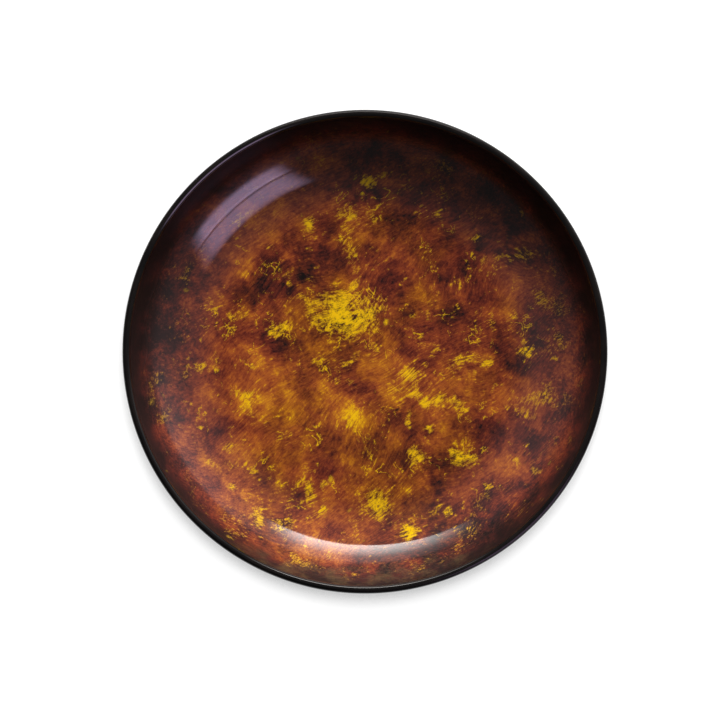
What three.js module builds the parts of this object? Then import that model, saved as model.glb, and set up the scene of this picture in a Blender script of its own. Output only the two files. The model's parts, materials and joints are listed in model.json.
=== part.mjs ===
// Coupe soup plate in glazed porcelain. Millimetres, +Z up, standing on z = 0 with its axis on Z.
// The clay body is pressed in one piece with its foot ring, and the fired coats lie on it: a liner glaze
// and a printed transfer inside, a black band over the lip, and black glaze outside and under the base.
// Every coat is a stretch of the finished surface with a thickness, so all pieces meet face to face.
import * as THREE from "three";

// Driving dimensions of the finished plate
const RIM_DIAMETER = 254;
const HEIGHT = 42;
const LIP_THICKNESS = 4; // the lip is a full round of this width
const FLOOR_DIAMETER = 164; // flat middle of the well, and of the underside below it
const FLOOR_THICKNESS = 5.5;
const FOOT_INSET = 12; // from the edge of the flat middle in to the foot ring
const FOOT_HEIGHT = 5; // table to the underside
const FOOT_WIDTH = 5; // bare clay, across the ring
const FOOT_FILLET = 2; // hollow between the ring and the underside
const FOOT_CORNER = 1; // rounded edges of the ground face
const GLAZE_LINE = 1.6; // height of the bare clay above the table

// Fired coats
const GLAZE_THICKNESS = 0.3;
const PRINT_THICKNESS = 0.1;
const BAND_INSIDE = 1; // how far the black band runs down from the lip's round, inside and outside
const BAND_OUTSIDE = 3;

// Facets
const FACETS_AROUND = 60;
const WALL_STEPS = 8;
const QUARTER_STEPS = 3; // in a quarter of the lip's round
const FILLET_STEPS = 2;

const coat = GLAZE_THICKNESS + PRINT_THICKNESS; // total thickness over the clay, the same on every side
const lipRadius = LIP_THICKNESS / 2;
const lipCentre = new THREE.Vector2(RIM_DIAMETER / 2 - lipRadius, HEIGHT - lipRadius);
const underside = FOOT_HEIGHT;
const floor = underside + FLOOR_THICKNESS;
const flatRadius = FLOOR_DIAMETER / 2;
const footOuter = flatRadius - FOOT_INSET;
const footInner = footOuter - FOOT_WIDTH - 2 * coat;
const footFillet = Math.min(FOOT_FILLET, FOOT_HEIGHT - GLAZE_LINE);
const footCorner = Math.min(FOOT_CORNER, GLAZE_LINE, FOOT_WIDTH / 2);

const down = -Math.PI / 2;
const right = 0;
const up = Math.PI / 2;
const left = Math.PI;
const convex = 1;
const hollow = -1;

// One arc sweeps each face of the wall, from the edge of the flat middle up into the lip's round.
// The round lies outside the inner arc, side +1, and inside the outer one, side -1.
function wallArc(planeHeight, side) {
  const run = lipCentre.x - flatRadius;
  const rise = lipCentre.y - planeHeight;
  const radius = (run ** 2 + rise ** 2 - lipRadius ** 2) / (2 * (rise + side * lipRadius));
  const centre = new THREE.Vector2(flatRadius, planeHeight + radius);
  const toLip = lipCentre.clone().sub(centre);
  return { centre, radius, lipAngle: Math.atan2(toLip.y, toLip.x) };
}

const innerArc = wallArc(floor, 1);
const outerArc = wallArc(underside, -1);
const bandEdgeInside = innerArc.lipAngle - BAND_INSIDE / innerArc.radius;
const bandEdgeOutside = outerArc.lipAngle - BAND_OUTSIDE / outerArc.radius;

// A stretch of surface is a list of points, each with the normal that points out of the plate.
// Stretches run anticlockwise round the section: base, foot, outside, lip, inside.
function pointOn(r, z, normalR, normalZ) {
  return { point: new THREE.Vector2(r, z), normal: new THREE.Vector2(normalR, normalZ) };
}

function arcStretch(centre, radius, start, end, steps, bulge) {
  const curve = new THREE.ArcCurve(centre.x, centre.y, radius, start, end, end < start);
  return curve.getPoints(steps).map((point) => ({
    point,
    normal: point.clone().sub(centre).multiplyScalar(bulge / radius),
  }));
}

function wallStretch(arc, start, end, steps, bulge) {
  return arcStretch(arc.centre, arc.radius, start, end, steps, bulge);
}

function footHollow(centreR, start, end) {
  const centre = new THREE.Vector2(centreR, underside - footFillet);
  return arcStretch(centre, footFillet, start, end, FILLET_STEPS, hollow);
}

const baseStretch = [
  pointOn(0, underside, 0, -1),
  ...footHollow(footInner - footFillet, up, right),
  pointOn(footInner, GLAZE_LINE, -1, 0),
];

const outsideStretch = [
  pointOn(footOuter, GLAZE_LINE, 1, 0),
  ...footHollow(footOuter + footFillet, left, up),
  ...wallStretch(outerArc, down, bandEdgeOutside, WALL_STEPS, convex),
];

const bandStretch = [
  ...wallStretch(outerArc, bandEdgeOutside, outerArc.lipAngle, 1, convex),
  ...arcStretch(lipCentre, lipRadius, outerArc.lipAngle, right, 1, convex),
  ...arcStretch(lipCentre, lipRadius, right, up, QUARTER_STEPS, convex),
  ...arcStretch(lipCentre, lipRadius, up, innerArc.lipAngle + left, QUARTER_STEPS, convex),
  ...wallStretch(innerArc, innerArc.lipAngle, bandEdgeInside, 1, hollow),
];

const insideStretch = [
  ...wallStretch(innerArc, bandEdgeInside, down, WALL_STEPS, hollow),
  pointOn(0, floor, 0, 1),
];

// The ground face of the foot and its rounded edges, bare clay between the two glaze lines.
const groundStretch = [
  ...arcStretch(
    new THREE.Vector2(footInner + coat + footCorner, footCorner),
    footCorner, left, left + up, FILLET_STEPS, convex,
  ),
  ...arcStretch(
    new THREE.Vector2(footOuter - coat - footCorner, footCorner),
    footCorner, down, right, FILLET_STEPS, convex,
  ),
];

// The points of a stretch at a depth below its surface.
function sunk(stretch, depth) {
  return stretch.map(({ point, normal }) => point.clone().addScaledVector(normal, -depth));
}

// Turns a section about Z. A point that repeats the one before it is left out.
function turned(section) {
  const nearly = 1e-6;
  const points = section.filter((point, i) => i === 0 || point.distanceTo(section[i - 1]) > nearly);
  return new THREE.LatheGeometry(points, FACETS_AROUND).rotateX(up);
}

// A coat over one stretch, between two depths. Its section starts and ends on the axis, or is a closed ring.
function coatGeometry(stretch, top, bottom) {
  const face = sunk(stretch, top);
  const back = sunk(stretch, bottom).reverse();
  if (stretch.at(0).point.x === 0) return turned([...face, ...back]);
  if (stretch.at(-1).point.x === 0) return turned([...back, ...face]);
  return turned([...face, ...back, face[0]]);
}

function bodyGeometry() {
  return turned([
    ...sunk(baseStretch, coat),
    ...sunk(groundStretch, 0),
    ...sunk(outsideStretch, coat),
    ...sunk(bandStretch, coat),
    ...sunk(insideStretch, coat),
  ]);
}

const pieces = {
  porcelain_body: bodyGeometry(),
  liner_glaze: coatGeometry(insideStretch, PRINT_THICKNESS, coat),
  transfer_print: coatGeometry(insideStretch, 0, PRINT_THICKNESS),
  rim_band: coatGeometry(bandStretch, 0, coat),
  outer_glaze: coatGeometry(outsideStretch, 0, coat),
  base_glaze: coatGeometry(baseStretch, 0, coat),
};

const blackGlaze = { color: 0x0d0b0b, roughness: 0.12, metalness: 0 };

const finishes = {
  porcelain_body: { color: 0xe6e1d8, roughness: 0.6, metalness: 0 },
  liner_glaze: { color: 0xf2efe9, roughness: 0.1, metalness: 0 },
  transfer_print: { color: 0x7c4526, roughness: 0.12, metalness: 0 },
  rim_band: blackGlaze,
  outer_glaze: blackGlaze,
  base_glaze: blackGlaze,
};

const plate = new THREE.Group();
for (const [name, geometry] of Object.entries(pieces)) {
  const mesh = new THREE.Mesh(geometry, new THREE.MeshStandardMaterial(finishes[name]));
  mesh.name = name;
  plate.add(mesh);
}

export default plate;
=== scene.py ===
"""A round porcelain soup plate with a mottled amber glaze inside and black glaze outside.

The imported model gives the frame, in metres, +Z up, with the plate standing on z = 0. Every piece here
stands for one node: the fired body first, then its coats in the order in which they go on.
"""

import json
import math
from types import SimpleNamespace

import bpy
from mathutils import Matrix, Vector


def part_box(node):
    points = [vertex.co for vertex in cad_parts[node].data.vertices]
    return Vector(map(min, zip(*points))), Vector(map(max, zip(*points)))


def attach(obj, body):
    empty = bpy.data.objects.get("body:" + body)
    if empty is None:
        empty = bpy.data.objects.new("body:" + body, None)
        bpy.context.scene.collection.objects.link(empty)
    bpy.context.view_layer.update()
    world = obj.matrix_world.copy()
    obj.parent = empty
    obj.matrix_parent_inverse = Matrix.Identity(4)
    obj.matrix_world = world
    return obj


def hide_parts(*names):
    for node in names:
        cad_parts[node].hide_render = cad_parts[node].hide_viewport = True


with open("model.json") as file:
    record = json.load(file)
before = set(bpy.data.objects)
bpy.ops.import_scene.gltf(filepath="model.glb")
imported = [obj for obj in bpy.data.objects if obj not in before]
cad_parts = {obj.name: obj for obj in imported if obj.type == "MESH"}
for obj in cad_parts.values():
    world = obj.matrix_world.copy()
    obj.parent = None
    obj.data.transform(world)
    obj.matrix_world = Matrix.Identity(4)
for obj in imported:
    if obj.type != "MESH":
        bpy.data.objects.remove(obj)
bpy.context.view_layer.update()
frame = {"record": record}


# Porcelain body
# One pressing of white porcelain: floor, curved wall, rounded lip and foot ring together. It is fired
# under its coats and shows bare only on the foot ring, which is ground flat so that the plate stands still.
MOUNTS = {mount["name"]: mount for mount in frame["record"]["mounts"]}
RIM_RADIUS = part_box("rim_band")[1].x
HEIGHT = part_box("rim_band")[1].z
FLOOR_LEVEL = MOUNTS["well_floor"]["pos_m"][2]
GLAZE_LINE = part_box("base_glaze")[0].z
GLAZE_THICKNESS = 0.0003
PRINT_THICKNESS = 0.0001
COAT = GLAZE_THICKNESS + PRINT_THICKNESS
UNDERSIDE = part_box("base_glaze")[1].z - COAT
LIP_RADIUS = 0.002
LIP_CENTRE = Vector((RIM_RADIUS - LIP_RADIUS, HEIGHT - LIP_RADIUS))
FLAT_RADIUS = 0.082
FOOT_OUTER = 0.070
FOOT_WIDTH = 0.005
FOOT_INNER = FOOT_OUTER - FOOT_WIDTH - 2 * COAT
FOOT_FILLET = 0.002
FOOT_CORNER = 0.001
BAND_INSIDE = 0.001
BAND_OUTSIDE = 0.003

# How finely the surface is divided
STEPS_AROUND = 288
WALL_STEPS = 48
LIP_STEPS = 24
FILLET_STEPS = 8
FLAT_STEPS = 8
MERGE_DISTANCE = 1e-6
SMOOTH_ANGLE = math.radians(35)

# Directions on the section as angles, where UNDER is down again, counted on from the left
DOWN, RIGHT, UP, LEFT, UNDER = -math.pi / 2, 0.0, math.pi / 2, math.pi, 3 * math.pi / 2
CONVEX, HOLLOW = 1, -1


def arc(centre, radius, start, end, steps, bulge):
    """A stretch of the plate's section on an arc: points (r, z), each with the normal that points out."""
    stretch = []
    for i in range(steps + 1):
        angle = start + (end - start) * i / steps
        spoke = Vector((math.cos(angle), math.sin(angle)))
        stretch.append((Vector(centre) + radius * spoke, bulge * spoke))
    return stretch


def level(start, end, height, side):
    """A flat stretch of the section between two radii, facing up with side 1 and down with side -1."""
    step = (end - start) / FLAT_STEPS
    return [(Vector((start + i * step, height)), Vector((0, side))) for i in range(FLAT_STEPS + 1)]


def sunk(stretch, depth):
    """The points of a stretch at a depth below the finished surface."""
    return [point - depth * normal for point, normal in stretch]


def wall_arc(plane, side):
    """Centre, radius and lip angle of the arc from the flat middle up into the lip's round."""
    run = LIP_CENTRE.x - FLAT_RADIUS
    rise = LIP_CENTRE.y - plane
    radius = (run**2 + rise**2 - LIP_RADIUS**2) / (2 * (rise + side * LIP_RADIUS))
    centre = Vector((FLAT_RADIUS, plane + radius))
    to_lip = LIP_CENTRE - centre
    return centre, radius, math.atan2(to_lip.y, to_lip.x)


inner_centre, inner_radius, inner_lip = wall_arc(FLOOR_LEVEL, 1)
outer_centre, outer_radius, outer_lip = wall_arc(UNDERSIDE, -1)
band_edge_inside = inner_lip - BAND_INSIDE / inner_radius
band_edge_outside = outer_lip - BAND_OUTSIDE / outer_radius

# Stretches of the finished surface: the recess, the outside, the band, the inside and the ground face
# The glaze ends in a small roll on each side of the foot.
base_fillet_centre = (FOOT_INNER - FOOT_FILLET, UNDERSIDE - FOOT_FILLET)
base_stretch = (
    level(0, FOOT_INNER - FOOT_FILLET, UNDERSIDE, -1)
    + arc(base_fillet_centre, FOOT_FILLET, UP, RIGHT, FILLET_STEPS, HOLLOW)[1:]
    + arc((FOOT_INNER + COAT, GLAZE_LINE + COAT), COAT, LEFT, UNDER, FILLET_STEPS, CONVEX)
)
outside_fillet_centre = (FOOT_OUTER + FOOT_FILLET, UNDERSIDE - FOOT_FILLET)
outside_stretch = (
    arc((FOOT_OUTER - COAT, GLAZE_LINE + COAT), COAT, DOWN, RIGHT, FILLET_STEPS, CONVEX)
    + arc(outside_fillet_centre, FOOT_FILLET, LEFT, UP, FILLET_STEPS, HOLLOW)
    + arc(outer_centre, outer_radius, DOWN, band_edge_outside, WALL_STEPS, CONVEX)
)
band_stretch = (
    arc(outer_centre, outer_radius, band_edge_outside, outer_lip, FILLET_STEPS, CONVEX)
    + arc(LIP_CENTRE, LIP_RADIUS, outer_lip, inner_lip + math.pi, LIP_STEPS, CONVEX)[1:]
    + arc(inner_centre, inner_radius, inner_lip, band_edge_inside, FILLET_STEPS, HOLLOW)[1:]
)
inside_stretch = (
    arc(inner_centre, inner_radius, band_edge_inside, DOWN, WALL_STEPS, HOLLOW)
    + level(FLAT_RADIUS, 0, FLOOR_LEVEL, 1)[1:]
)
inner_corner_centre = (FOOT_INNER + COAT + FOOT_CORNER, FOOT_CORNER)
outer_corner_centre = (FOOT_OUTER - COAT - FOOT_CORNER, FOOT_CORNER)
ground_stretch = (
    arc(inner_corner_centre, FOOT_CORNER, LEFT, UNDER, FILLET_STEPS, CONVEX)
    + arc(outer_corner_centre, FOOT_CORNER, DOWN, RIGHT, FILLET_STEPS, CONVEX)
)


def spun(name, outline):
    """Draws an outline of (r, z) points edge by edge and spins it about Z into one closed smooth mesh."""
    bpy.ops.object.select_all(action="DESELECT")
    bpy.ops.mesh.primitive_plane_add(size=COAT, location=(outline[0].x, 0, outline[0].y))
    bpy.ops.object.transform_apply(location=True)
    piece = bpy.context.object
    piece.name = name
    bpy.ops.object.mode_set(mode="EDIT")
    bpy.ops.mesh.merge(type="CENTER")
    for here, there in zip(outline, outline[1:]):
        step = there - here
        bpy.ops.mesh.extrude_vertices_move(TRANSFORM_OT_translate={"value": (step.x, 0, step.y)})
    bpy.ops.mesh.select_all(action="SELECT")
    bpy.ops.mesh.spin(steps=STEPS_AROUND, angle=2 * math.pi, center=(0, 0, 0), axis=(0, 0, 1))
    bpy.ops.mesh.select_all(action="SELECT")
    bpy.ops.mesh.remove_doubles(threshold=MERGE_DISTANCE)
    bpy.ops.mesh.normals_make_consistent(inside=False)
    bpy.ops.object.mode_set(mode="OBJECT")
    bpy.ops.object.shade_smooth_by_angle(angle=SMOOTH_ANGLE)
    return piece


def stands_for(piece, node, material):
    """Gives a piece its finish and its place in the frame, where it hides the node that it stands for."""
    piece.data.materials.append(material)
    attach(piece, "root")
    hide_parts(node)


def new_material(name):
    """A material with its node tree and its shader."""
    material = bpy.data.materials.new(name)
    material.use_nodes = True
    return material, material.node_tree, material.node_tree.nodes["Principled BSDF"]


def add(tree, kind, inputs, **settings):
    """Adds a shader node. An input is a plain value or the socket of another node."""
    node = tree.nodes.new("ShaderNode" + kind)
    for name, value in settings.items():
        setattr(node, name, value)
    for key, value in inputs.items():
        if isinstance(value, bpy.types.NodeSocket):
            tree.links.new(value, node.inputs[key])
        else:
            node.inputs[key].default_value = value
    return node


def ramp(tree, factor, stops):
    """A colour ramp through stops of (position, colour)."""
    node = add(tree, "ValToRGB", {"Fac": factor})
    elements = node.color_ramp.elements
    while len(elements) < len(stops):
        elements.new(1.0)
    for element, (position, colour) in zip(elements, stops):
        element.position = position
        element.color = (*colour, 1.0)
    return node.outputs["Color"]


def noise(tree, vector, scale, seed, detail=2.0, roughness=0.5, distortion=0.0):
    """A cloudy field around 0.5. Scale is in features to the metre, and each seed gives another field."""
    inputs = {
        "Vector": vector,
        "W": seed,
        "Scale": scale,
        "Detail": detail,
        "Roughness": roughness,
        "Distortion": distortion,
    }
    return add(tree, "TexNoise", inputs, noise_dimensions="4D").outputs["Fac"]


def spread(tree, value, low, high, to_low=0.0, to_high=1.0):
    """Stretches a field from low..high to to_low..to_high, smooth at both ends."""
    inputs = {"Value": value, "From Min": low, "From Max": high, "To Min": to_low, "To Max": to_high}
    return add(tree, "MapRange", inputs, interpolation_type="SMOOTHSTEP").outputs["Result"]


def calc(tree, operation, first, second=0.0):
    """One sum on two fields."""
    return add(tree, "Math", {0: first, 1: second}, operation=operation).outputs["Value"]


def swing(tree, field, amount):
    """A field around 0.5 made into one around 0, this many times as strong."""
    return calc(tree, "MULTIPLY", calc(tree, "SUBTRACT", field, 0.5), amount)


def total(tree, *fields):
    """The sum of several fields."""
    result = fields[0]
    for field in fields[1:]:
        result = calc(tree, "ADD", result, field)
    return result


# The sockets of a mix node that is set to colours
MIX_FACTOR, MIX_UNDER, MIX_OVER, MIX_RESULT = 0, 6, 7, 2


def blend(tree, factor, under, over):
    """Lays one colour over another. Each is a plain colour or the socket of another node."""
    node = add(tree, "Mix", {MIX_FACTOR: factor}, data_type="RGBA")
    for key, colour in ((MIX_UNDER, under), (MIX_OVER, over)):
        if isinstance(colour, bpy.types.NodeSocket):
            tree.links.new(colour, node.inputs[key])
        else:
            node.inputs[key].default_value = (*colour, 1.0)
    return node.outputs[MIX_RESULT]


def vector_sum(tree, operation, first, second):
    """One sum on two vectors."""
    return add(tree, "VectorMath", {0: first, 1: second}, operation=operation).outputs["Vector"]


def polar(tree):
    """Object coordinates, the same laid flat, and the distance from the plate's axis."""
    place = add(tree, "TexCoord", {}).outputs["Object"]
    flat = vector_sum(tree, "MULTIPLY", place, (1, 1, 0))
    radius = add(tree, "VectorMath", {0: flat}, operation="LENGTH").outputs["Value"]
    return place, flat, radius


def turned(tree, flat, radius, lines, arcs):
    """Coordinates for fine rings round the axis: lines to the metre, each in about so many arcs."""
    compass = add(tree, "VectorMath", {0: flat}, operation="NORMALIZE").outputs["Vector"]
    along = vector_sum(tree, "MULTIPLY", compass, (arcs, arcs, 0))
    across = add(tree, "CombineXYZ", {"Z": calc(tree, "MULTIPLY", radius, lines)}).outputs["Vector"]
    return vector_sum(tree, "ADD", along, across)


CLAY = [(0.3, (0.56, 0.53, 0.48)), (0.5, (0.74, 0.71, 0.66)), (0.7, (0.80, 0.78, 0.73))]
KILN_GREY = (0.23, 0.19, 0.16)
GREY_START, GREY_FULL = 0.0010, 0.0017


def bare_porcelain():
    """Ground white clay: a fine grain, rings left by the grinding wheel, and grey close to the glaze."""
    material, tree, shader = new_material("bare_porcelain")
    place, flat, radius = polar(tree)
    grain = noise(tree, place, 2400, seed=1.0, detail=4)
    around = turned(tree, flat, radius, lines=3000, arcs=9)
    rings = noise(tree, around, 1.0, seed=2.0, detail=3, roughness=0.7)
    shade = total(tree, swing(tree, grain, 0.5), swing(tree, rings, 0.5), 0.5)
    height = add(tree, "SeparateXYZ", {"Vector": place}).outputs["Z"]
    ragged = total(tree, height, swing(tree, noise(tree, place, 900, seed=3.0, detail=3), 0.0006))
    grey = spread(tree, ragged, GREY_START, GREY_FULL, 0.0, 0.55)
    clay = blend(tree, grey, ramp(tree, shade, CLAY), KILN_GREY)
    tree.links.new(clay, shader.inputs["Base Color"])
    shader.inputs["Roughness"].default_value = 0.62
    bump = add(tree, "Bump", {"Height": shade, "Strength": 0.25, "Distance": 0.0001})
    tree.links.new(bump.outputs["Normal"], shader.inputs["Normal"])
    return material


body_outline = (
    sunk(base_stretch, COAT)
    + sunk(ground_stretch, 0)
    + sunk(outside_stretch, COAT)
    + sunk(band_stretch, COAT)[1:]
    + sunk(inside_stretch, COAT)[1:]
)
body = spun("porcelain_plate_body", body_outline)
stands_for(body, "porcelain_body", bare_porcelain())


# Liner glaze
# The white gloss glaze that lines the well, a thin skin of glass on the clay. It is poured in, swirled
# round and fired, and the print that lies on it hides it.
WAVE_HEIGHT = 0.00005
MILK = [(0.3, (0.78, 0.77, 0.73)), (0.7, (0.86, 0.85, 0.82))]


def coat_outline(stretch, top, bottom):
    """The outline of a coat between two depths, from axis to axis or once round a ring."""
    face = sunk(stretch, top)
    back = sunk(stretch, bottom)[::-1]
    if face[0].x == 0:
        return face + back
    if face[-1].x == 0:
        return back + face
    return face + back + face[:1]


def glaze_gloss(tree, shader, place):
    """The gloss of a fired glaze: slow waves, a finer orange peel, and a sheen that isn't quite even."""
    waves = noise(tree, place, 55, seed=51.0, detail=1)
    peel = noise(tree, place, 240, seed=53.0, detail=1)
    height = total(tree, waves, swing(tree, peel, 0.22))
    bump = add(tree, "Bump", {"Height": height, "Strength": 1.0, "Distance": WAVE_HEIGHT})
    tree.links.new(bump.outputs["Normal"], shader.inputs["Normal"])
    sheen = spread(tree, waves, 0.3, 0.7, 0.05, 0.10)
    tree.links.new(sheen, shader.inputs["Roughness"])
    return sheen


def white_glaze():
    """Milky gloss glaze, faintly uneven where it ran thicker."""
    material, tree, shader = new_material("white_glaze")
    place = add(tree, "TexCoord", {}).outputs["Object"]
    pools = noise(tree, place, 45, seed=5.0, detail=3)
    tree.links.new(ramp(tree, pools, MILK), shader.inputs["Base Color"])
    glaze_gloss(tree, shader, place)
    return material


liner = spun("white_liner_glaze", coat_outline(inside_stretch, PRINT_THICKNESS, COAT))
stands_for(liner, "liner_glaze", white_glaze())


# Transfer print
# The decorated coat of floor and wall, printed on transfer paper, slid on and fired into the glaze. Rust
# and amber run into each other under patches and threads of gold, and darken up the wall to near black.
# Light is painted into it too: lighter towards the near side, a pale haze up the wall, olive reflections.
RUST = [
    (0.00, (0.0075, 0.0044, 0.0040)),
    (0.10, (0.0190, 0.0064, 0.0058)),
    (0.22, (0.0480, 0.0102, 0.0078)),
    (0.35, (0.1070, 0.0175, 0.0098)),
    (0.48, (0.1900, 0.0350, 0.0130)),
    (0.60, (0.2800, 0.0600, 0.0150)),
    (0.75, (0.4100, 0.1120, 0.0155)),
    (0.90, (0.5800, 0.2250, 0.0110)),
    (1.00, (0.7200, 0.3700, 0.0060)),
]
AMBER = [
    (0.00, (0.0078, 0.0046, 0.0038)),
    (0.10, (0.0195, 0.0068, 0.0050)),
    (0.22, (0.0500, 0.0116, 0.0062)),
    (0.35, (0.1080, 0.0225, 0.0066)),
    (0.48, (0.1880, 0.0450, 0.0076)),
    (0.60, (0.2800, 0.0770, 0.0078)),
    (0.75, (0.4200, 0.1480, 0.0070)),
    (0.90, (0.6100, 0.2750, 0.0045)),
    (1.00, (0.7700, 0.4300, 0.0025)),
]
PAINTED_HAZE = (0.17, 0.115, 0.12)
OLIVE_REFLECTION = (0.13, 0.085, 0.036)
PINHOLE = (0.012, 0.006, 0.006)

# Gold, duller towards the lip, by reach, which runs from 0 on the axis to 1 at the rim
GOLD = [
    (0.70, (0.80, 0.485, 0.003)),
    (0.84, (0.48, 0.26, 0.02)),
    (0.92, (0.26, 0.15, 0.018)),
    (0.955, (0.05, 0.02, 0.012)),
]

# How warm the ground is by reach: level over the floor, then a fall up the wall
WARMTH = [
    (0.0, 0.44),
    (0.3, 0.425),
    (0.58, 0.42),
    (0.72, 0.405),
    (0.82, 0.345),
    (0.88, 0.28),
    (0.915, 0.19),
    (0.94, 0.11),
    (0.965, 0.0),
]

# Stretches along Y where the print is lighter, partly print and partly painted light: near side and near
# lip
NEAR_SIDE = (-0.11, -0.03)
NEAR_LIP = (-0.118, -0.095)

# The slow sway of the flow that the grain follows, and the angle at which it lies
SWAY = 0.05
SWAYS_TO_THE_METRE = 16
FLOW_ANGLE = 0.6


def product(tree, *fields):
    """The product of several fields."""
    result = fields[0]
    for field in fields[1:]:
        result = calc(tree, "MULTIPLY", result, field)
    return result


def curve(tree, value, points):
    """A field bent through points of (value, result), both 0 to 1."""
    node = add(tree, "FloatCurve", {"Value": value})
    bend = node.mapping.curves[0].points
    while len(bend) < len(points):
        bend.new(0.5, 0.5)
    for knot, place in zip(bend, points):
        knot.location = place
    node.mapping.update()
    return node.outputs["Value"]


def flowing(tree, place, draw):
    """Coordinates drawn out one way, this many times, along a slow sway."""
    wander = add(tree, "TexNoise", {"Vector": place, "Scale": SWAYS_TO_THE_METRE, "Detail": 1})
    shift = {0: wander.outputs["Color"], 1: (SWAY, SWAY, 0), 2: place}
    bent = add(tree, "VectorMath", shift, operation="MULTIPLY_ADD").outputs["Vector"]
    lie = {"Vector": bent, "Rotation": (0, 0, FLOW_ANGLE), "Scale": (draw, 1, 1)}
    return add(tree, "Mapping", lie, vector_type="TEXTURE").outputs["Vector"]


def print_fields(tree):
    """The fields of the print: where a point lies, its grain, where gold gathers and where light is
    painted.
    """
    place, _, radius = polar(tree)
    depth = add(tree, "SeparateXYZ", {"Vector": place}).outputs["Y"]
    return SimpleNamespace(
        place=place,
        reach=calc(tree, "DIVIDE", radius, RIM_RADIUS),
        near=spread(tree, depth, *NEAR_SIDE, 1.0, 0.0),
        foremost=spread(tree, depth, *NEAR_LIP, 1.0, 0.0),
        streak=noise(tree, flowing(tree, place, 4.5), 900, seed=62.0, detail=3, roughness=0.75),
        fibre=noise(tree, place, 280, seed=4.0, detail=4, roughness=0.8, distortion=1.6),
        large=noise(tree, place, 30, seed=93.0),
        middling=noise(tree, place, 60, seed=94.0),
        small=noise(tree, place, 110, seed=95.0),
    )


def ground_tone(tree, at):
    """How light the ground is, from 0, near black, to 1."""
    # Warm in the middle, darker up the wall, lighter to the near side and near lip, partly painted light
    near_print_and_light = product(tree, at.near, spread(tree, at.reach, 0.64, 0.95, 0.05, 0.0))
    warmth = total(tree, curve(tree, at.reach, WARMTH), near_print_and_light, product(tree, at.foremost, 0.04))

    # Clouds and blotches, and a grain of streaks and fibres, all calmer towards the lip
    cloud = noise(tree, at.place, 11, seed=297.0, detail=2, roughness=0.6)
    blotch = noise(tree, at.place, 60, seed=683.0, detail=3, roughness=0.6, distortion=0.3)
    grain = total(tree, swing(tree, at.streak, 0.8), swing(tree, at.fibre, 0.7))
    mottle = total(tree, swing(tree, cloud, 1.0), swing(tree, blotch, 1.3), grain)
    stronger = spread(tree, at.reach, 0.68, 0.78, 1.0, 1.15)
    calmer = spread(tree, at.reach, 0.87, 0.97, 1.0, 0.3)
    tone = total(tree, warmth, product(tree, mottle, stronger, calmer))

    # A glow round the larger patches of gold, and dark smudges with ragged edges, fewer near the gold
    glow = total(
        tree,
        spread(tree, at.large, 0.46, 0.68, 0.0, 0.14),
        spread(tree, at.middling, 0.50, 0.68, 0.0, 0.10),
    )
    glow = product(tree, glow, spread(tree, at.reach, 0.60, 0.90, 1.0, 0.0))
    smudge = noise(tree, at.place, 30, seed=476.0, detail=6, roughness=0.65, distortion=0.3)
    smudge = spread(tree, total(tree, smudge, glow), 0.33, 0.47, -0.25, 0.0)
    smudge = product(tree, smudge, spread(tree, at.reach, 0.62, 0.78, 1.0, 0.5))
    return total(tree, tone, glow, smudge)


def ground_colour(tree, at, tone):
    """The colour of the ground, without gold."""
    # Rust and amber drift into each other, with more amber in the middle,
    # and more towards the near side, partly as painted warm light
    drift = total(
        tree,
        noise(tree, at.place, 26, seed=31.0, detail=4, roughness=0.65),
        product(tree, at.reach, -0.10),
        spread(tree, at.reach, 0.62, 0.80, 0.0, -0.08),
        product(tree, at.near, 0.14),
    )
    amber = spread(tree, drift, 0.37, 0.63)
    colour = blend(tree, amber, ramp(tree, tone, RUST), ramp(tree, tone, AMBER))

    # A pale haze on the wall, a painted reflection of dim room light, thinner on the near side and by the
    # lip
    painted_haze = product(
        tree,
        spread(tree, at.reach, 0.58, 0.74, 0.0, 0.16),
        spread(tree, at.near, 0.0, 1.0, 1.0, 0.6),
        spread(tree, at.reach, 0.84, 0.94, 1.0, 0.25),
    )
    colour = blend(tree, painted_haze, colour, PAINTED_HAZE)

    # Olive patches by the near lip, a painted reflection of the back panel mirrored off the floor
    painted_reflection = noise(tree, at.place, 90, seed=12.0, detail=4, roughness=0.65)
    painted_reflection = total(tree, painted_reflection, swing(tree, at.fibre, 0.4))
    painted_reflection = spread(tree, painted_reflection, 0.42, 0.66, 0.0, 0.35)
    by_the_lip = spread(tree, at.reach, 0.85, 0.92)
    return blend(tree, product(tree, painted_reflection, by_the_lip, at.foremost), colour, OLIVE_REFLECTION)


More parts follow.
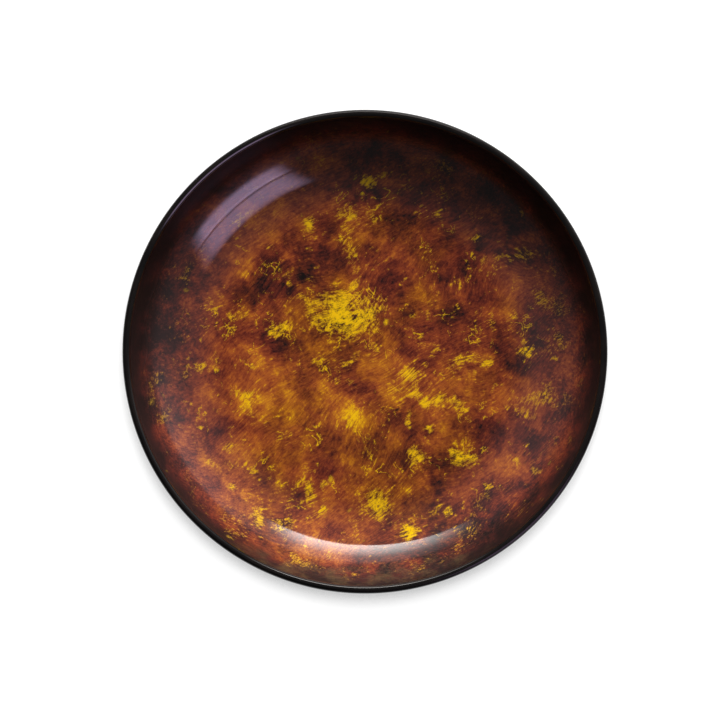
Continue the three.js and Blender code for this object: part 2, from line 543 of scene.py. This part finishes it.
def gilded(tree, at, tone, colour):
    """Lays the gold on the ground, and pricks it with a few dark pinholes."""
    # Large, middling and small patches, feathered along the flow, and none in the blackest smudges
    # The gold turns brighter towards the near side as painted light.
    gold = ramp(tree, total(tree, at.reach, product(tree, at.near, -0.08)), GOLD)
    ground = spread(tree, tone, 0.12, 0.34)
    rarer = total(tree, product(tree, at.reach, -0.06), product(tree, at.near, 0.04))
    feather = total(tree, swing(tree, at.streak, 0.5), swing(tree, at.fibre, 0.4), rarer)
    for gather, edge in ((at.large, 0.60), (at.middling, 0.60), (at.small, 0.63)):
        patch = spread(tree, total(tree, gather, feather), edge, edge + 0.16, 0.0, 0.95)
        colour = blend(tree, product(tree, patch, ground), colour, gold)

    # Short curling threads, fainter up the wall
    curl = noise(tree, at.place, 85, seed=81.0, detail=3, roughness=0.55, distortion=1.2)
    thread = spread(tree, calc(tree, "ABSOLUTE", swing(tree, curl, 1.0)), 0.004, 0.014, 1.0, 0.0)
    breaks = noise(tree, at.place, 75, seed=84.0)
    breaks = total(tree, breaks, swing(tree, at.fibre, 0.5), swing(tree, at.streak, 0.4))
    shown = spread(tree, breaks, 0.56, 0.66, 0.0, 0.8)
    fainter = spread(tree, at.reach, 0.62, 0.80, 1.0, 0.4)
    colour = blend(tree, product(tree, thread, shown, fainter, ground), colour, gold)

    # Soft drops in some cells of a net, and pinholes in a few others
    cells = add(tree, "TexVoronoi", {"Vector": flowing(tree, at.place, 1.7), "Scale": 95}).outputs
    pick = add(tree, "SeparateColor", {"Color": cells["Color"]}).outputs["Red"]
    away = total(tree, cells["Distance"], swing(tree, at.fibre, 0.5), swing(tree, at.streak, 0.3))
    drop = spread(tree, away, 0.01, 0.15, 1.0, 0.0)
    some = spread(tree, pick, 0.62, 0.90, 0.0, 0.85)
    colour = blend(tree, product(tree, drop, some), colour, gold)
    pin = spread(tree, cells["Distance"], 0.04, 0.08, 1.0, 0.0)
    few = spread(tree, pick, 0.08, 0.10, 0.9, 0.0)
    return blend(tree, product(tree, pin, few), colour, PINHOLE)


def printed_glaze():
    """Gloss glaze over the print, duller where the coat thins out towards the lip."""
    material, tree, shader = new_material("printed_glaze")
    at = print_fields(tree)
    tone = ground_tone(tree, at)
    colour = gilded(tree, at, tone, ground_colour(tree, at, tone))
    tree.links.new(colour, shader.inputs["Base Color"])
    sheen = glaze_gloss(tree, shader, at.place)
    dull = spread(tree, at.reach, 0.84, 0.94, 0.0, 0.24)
    tree.links.new(total(tree, sheen, dull), shader.inputs["Roughness"])
    tree.links.new(spread(tree, at.reach, 0.88, 0.93, 0.5, 0.08), shader.inputs["Specular IOR Level"])
    return material


print_coat = spun("transfer_print_coat", coat_outline(inside_stretch, 0, PRINT_THICKNESS))
stands_for(print_coat, "transfer_print", printed_glaze())


# Outer glaze
# The black gloss glaze on the outside of the wall, the underside and the foot. The plate is dipped in it
# before it is fired, and it is wiped off the foot below the glaze line.
BLACK = [(0.35, (0.0045, 0.0040, 0.0042)), (0.65, (0.0090, 0.0070, 0.0066))]
BLACK_SPECULAR = 0.42


def black_glaze(name):
    """Deep black gloss glaze, a little brown where it lies thin."""
    material, tree, shader = new_material(name)
    place = add(tree, "TexCoord", {}).outputs["Object"]
    pools = noise(tree, place, 60, seed=6.0, detail=4)
    tree.links.new(ramp(tree, pools, BLACK), shader.inputs["Base Color"])
    shader.inputs["Specular IOR Level"].default_value = BLACK_SPECULAR
    glaze_gloss(tree, shader, place)
    return material


BLACK_GLAZE = black_glaze("black_glaze")
outer = spun("black_outer_glaze", coat_outline(outside_stretch, 0, COAT))
stands_for(outer, "outer_glaze", BLACK_GLAZE)


# Base glaze
# The same black glaze in the shallow recess inside the foot ring. It runs a little way down the inner side
# of the ring and is wiped off below the glaze line.
base = spun("black_base_glaze", coat_outline(base_stretch, 0, COAT))
stands_for(base, "base_glaze", BLACK_GLAZE)


# Rim band
# The black band brushed round the lip over the edges of print and outer glaze. The outer side of its crest
# is worn a little dull, where plates rub against each other in a stack.
CREST_DEPTH = 0.0014
WORN_ROUGHNESS = 0.14
WORN_SPECULAR = 0.16


def rubbed_black_glaze():
    """The black glaze again, worn along the outer side of the lip's crest."""
    material = black_glaze("rubbed_black_glaze")
    tree = material.node_tree
    shader = tree.nodes["Principled BSDF"]
    place, _, radius = polar(tree)
    height = add(tree, "SeparateXYZ", {"Vector": place}).outputs["Z"]
    crest = spread(tree, height, HEIGHT - CREST_DEPTH, HEIGHT - CREST_DEPTH / 2)
    outer_side = spread(tree, radius, LIP_CENTRE.x, LIP_CENTRE.x + LIP_RADIUS / 4)
    wear = product(tree, crest, outer_side)
    sheen = shader.inputs["Roughness"].links[0].from_socket
    tree.links.new(total(tree, sheen, product(tree, wear, WORN_ROUGHNESS)), shader.inputs["Roughness"])
    specular = spread(tree, wear, 0.0, 1.0, BLACK_SPECULAR, WORN_SPECULAR)
    tree.links.new(specular, shader.inputs["Specular IOR Level"])
    return material


band = spun("black_rim_band", coat_outline(band_stretch, 0, COAT))
stands_for(band, "rim_band", rubbed_black_glaze())


# Table
# A plain table top, painted white, that the plate stands on. It isn't part of the plate. It is far larger
# than the view. The plate's shade lies on it, partly cast by the lamps and partly painted into its glow,
# deepest by the foot.
TABLE_SIZE = 24
PAINT = (0.25, 0.25, 0.25, 1.0)
WHITE = (1, 1, 1, 1)
SHADE_REACH = 0.030
SHADE_GLOW = 0.43
FOOT_GLOW = 0.2


def white_table():
    """White paint, glowing up to white where seen, with the plate's close shade painted into the glow."""
    material, tree, shader = new_material("white_table")
    shader.inputs["Base Color"].default_value = PAINT
    shader.inputs["Roughness"].default_value = 0.9
    shader.inputs["Specular IOR Level"].default_value = 0.0
    path = add(tree, "LightPath", {}).outputs
    seen = calc(tree, "MAXIMUM", path["Is Camera Ray"], path["Is Glossy Ray"])
    seen = calc(tree, "MAXIMUM", seen, path["Is Transmission Ray"])
    openness = add(tree, "AmbientOcclusion", {"Distance": SHADE_REACH}, samples=16).outputs["AO"]
    round_the_plate = spread(tree, openness, 0.70, 0.95, SHADE_GLOW, 1.0)
    by_the_foot = spread(tree, openness, 0.05, 0.70, FOOT_GLOW, 1.0)
    glow = product(tree, round_the_plate, by_the_foot)
    tree.links.new(product(tree, seen, glow), shader.inputs["Emission Strength"])
    shader.inputs["Emission Color"].default_value = WHITE
    return material


bpy.ops.object.select_all(action="DESELECT")
bpy.ops.mesh.primitive_plane_add(size=TABLE_SIZE)
table = bpy.context.object
table.name = "white_table"
table.data.materials.append(white_table())


# Light
# Behind the plate are a wide panel, bright along its top, and a fill that isn't mirrored. At the right is a
# dim card, and at the front right a tall mauve softbox with a bar across it, which is only mirrored.
def panel(name, centre, facing, width, height, radiance, colour):
    """A rectangular lamp that faces a way. Looked at directly, radiance 1 is just white."""
    bpy.ops.object.light_add(type="AREA", location=centre)
    lamp = bpy.context.object
    lamp.name = name
    lamp.rotation_euler = Vector(facing).to_track_quat("-Z", "Y").to_euler()
    lamp.data.shape = "RECTANGLE"
    lamp.data.size = width
    lamp.data.size_y = height
    lamp.data.energy = radiance * math.pi * width * height
    lamp.data.color = colour
    return lamp


def graded(lamp, upward, soft_left, soft_right):
    """Grades a lamp's light from its foot to its top through points of (height, share), with soft ends."""
    lamp.data.use_nodes = True
    tree = lamp.data.node_tree
    face = add(tree, "NewGeometry", {}).outputs["Parametric"]
    axes = add(tree, "SeparateXYZ", {"Vector": face}).outputs
    left_end = spread(tree, calc(tree, "SUBTRACT", 1.0, axes["X"]), 0.0, soft_left)
    right_end = spread(tree, axes["X"], 0.0, soft_right)
    share = ramp(tree, axes["Y"], [(height, (light, light, light)) for height, light in upward])
    strength = product(tree, left_end, right_end, share)
    tree.links.new(strength, tree.nodes["Emission"].inputs["Strength"])


back_panel = panel(
    "back_panel",
    centre=(-0.12, 1.043, 0.405),
    facing=(-0.254, -0.967, 0),
    width=1.28,
    height=0.77,
    radiance=14.8,
    colour=(1.0, 0.95, 0.91),
)
PANEL_RISE = [
    (0.0, 0.03),
    (0.10, 0.06),
    (0.27, 0.10),
    (0.42, 0.18),
    (0.55, 0.40),
    (0.715, 0.70),
    (0.90, 1.0),
]
graded(back_panel, PANEL_RISE, soft_left=0.6, soft_right=0.2)

softbox = panel(
    "softbox",
    centre=(0.564, -0.594, 0.81),
    facing=(-0.646, 0.681, -0.336),
    width=0.68,
    height=1.14,
    radiance=6.0,
    colour=(0.90, 0.64, 1.0),
)
BELOW_BAR = [(0.0, 0.0), (0.12, 0.74), (0.29, 0.76), (0.32, 1.0), (0.352, 1.0)]
BAR = [(0.366, 0.2), (0.398, 0.2)]
ABOVE_BAR = [(0.425, 0.66), (0.75, 0.64), (0.88, 0.42), (1.0, 0.0)]
graded(softbox, BELOW_BAR + BAR + ABOVE_BAR, soft_left=0.2, soft_right=0.2)
softbox.visible_diffuse = False

right_card = panel(
    "right_card",
    centre=(0.867, 0.677, 0.9),
    facing=(-0.788, -0.616, 0),
    width=1.7,
    height=1.8,
    radiance=0.85,
    colour=(1.0, 0.96, 0.98),
)
CARD_FALL = [(0.0, 1.0), (0.25, 0.8), (0.6, 0.35), (1.0, 0.0)]
graded(right_card, CARD_FALL, soft_left=0.4, soft_right=0.4)

fill = panel(
    "back_fill",
    centre=(0.36, 1.72, 0.87),
    facing=(-0.184, -0.875, -0.448),
    width=1.6,
    height=1.6,
    radiance=8.6,
    colour=(1, 1, 1),
)
fill.visible_glossy = False

ROOM_LIGHT = 0.09
world = bpy.data.worlds.new("grey_room")
bpy.context.scene.world = world
world.use_nodes = True
world.node_tree.nodes["Background"].inputs["Color"].default_value = WHITE
world.node_tree.nodes["Background"].inputs["Strength"].default_value = ROOM_LIGHT


# Camera
# A long lens almost straight above, a little towards the near side. The plate lies a touch right of and
# above the middle of the picture.
CAMERA_DISTANCE = 1.3
CAMERA_ELEVATION = math.radians(86.03)
AIM = Vector((-0.0026, -0.0052, HEIGHT - LIP_RADIUS))
LENS = 124.2
SENSOR = 36
back = Vector((0, -math.cos(CAMERA_ELEVATION), math.sin(CAMERA_ELEVATION)))
bpy.ops.object.camera_add(location=AIM + CAMERA_DISTANCE * back)
camera = bpy.context.object
camera.rotation_euler = (math.pi / 2 - CAMERA_ELEVATION, 0, 0)
camera.data.lens = LENS
camera.data.sensor_width = SENSOR
bpy.context.scene.camera = camera
bpy.context.scene.view_settings.view_transform = "Standard"
